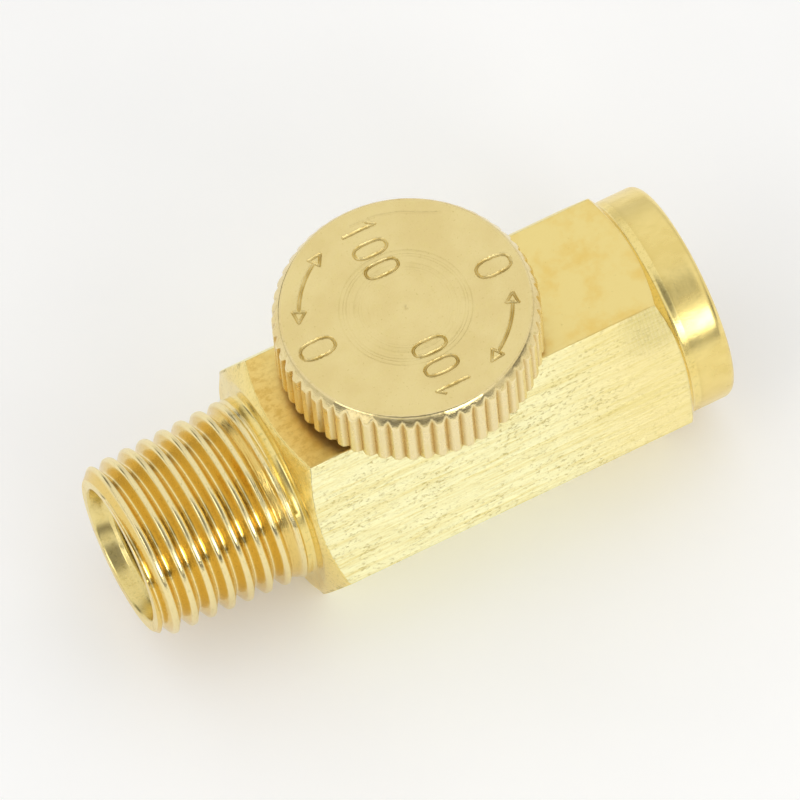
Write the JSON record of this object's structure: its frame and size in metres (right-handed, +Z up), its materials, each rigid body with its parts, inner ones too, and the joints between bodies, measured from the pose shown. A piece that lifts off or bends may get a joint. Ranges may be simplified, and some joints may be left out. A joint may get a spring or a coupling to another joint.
{
  "type": "inline flow control valve",
  "caption": "Brass inline pipe valve: hex body with male and female taper threads, and a knurled round dial on top that turns a cross-drilled plug to set the flow.",
  "frame": {"origin": "in the plane of the hex body's bottom flat, under the pipe axis, at the middle of the overall length", "axes": "+X along the pipe axis from the male end to the female end, +Z up along the dial's axis"},
  "size_m": [0.0438, 0.0196, 0.0229],
  "materials": {
    "body_brass": "bright machined bar stock, fine drawing lines along the flats, polished turned ends and threads",
    "plug_brass": "fine turned brass",
    "knob_brass": "satin faced top with struck dial marks, bright knurled rim",
    "nylon": "natural nylon",
    "nitrile_rubber": "greased black rubber",
    "spring_steel": "phosphated spring steel"
  },
  "bodies": {
    "body": {"valve_body": "body_brass", "thrust_washer": "nylon", "wave_washer": "spring_steel"},
    "dial": {"control_knob": "knob_brass", "metering_plug": "plug_brass", "upper_o_ring": "nitrile_rubber", "lower_o_ring": "nitrile_rubber", "flat_washer": "spring_steel", "retaining_clip": "spring_steel"}
  },
  "joints": [
    {"name": "dial_turn", "type": "hinge", "parent": "body", "child": "dial", "pos_m": [0.00115, 0, 0.0085], "axis": [0, 0, 1], "continuous": true}
  ]
}
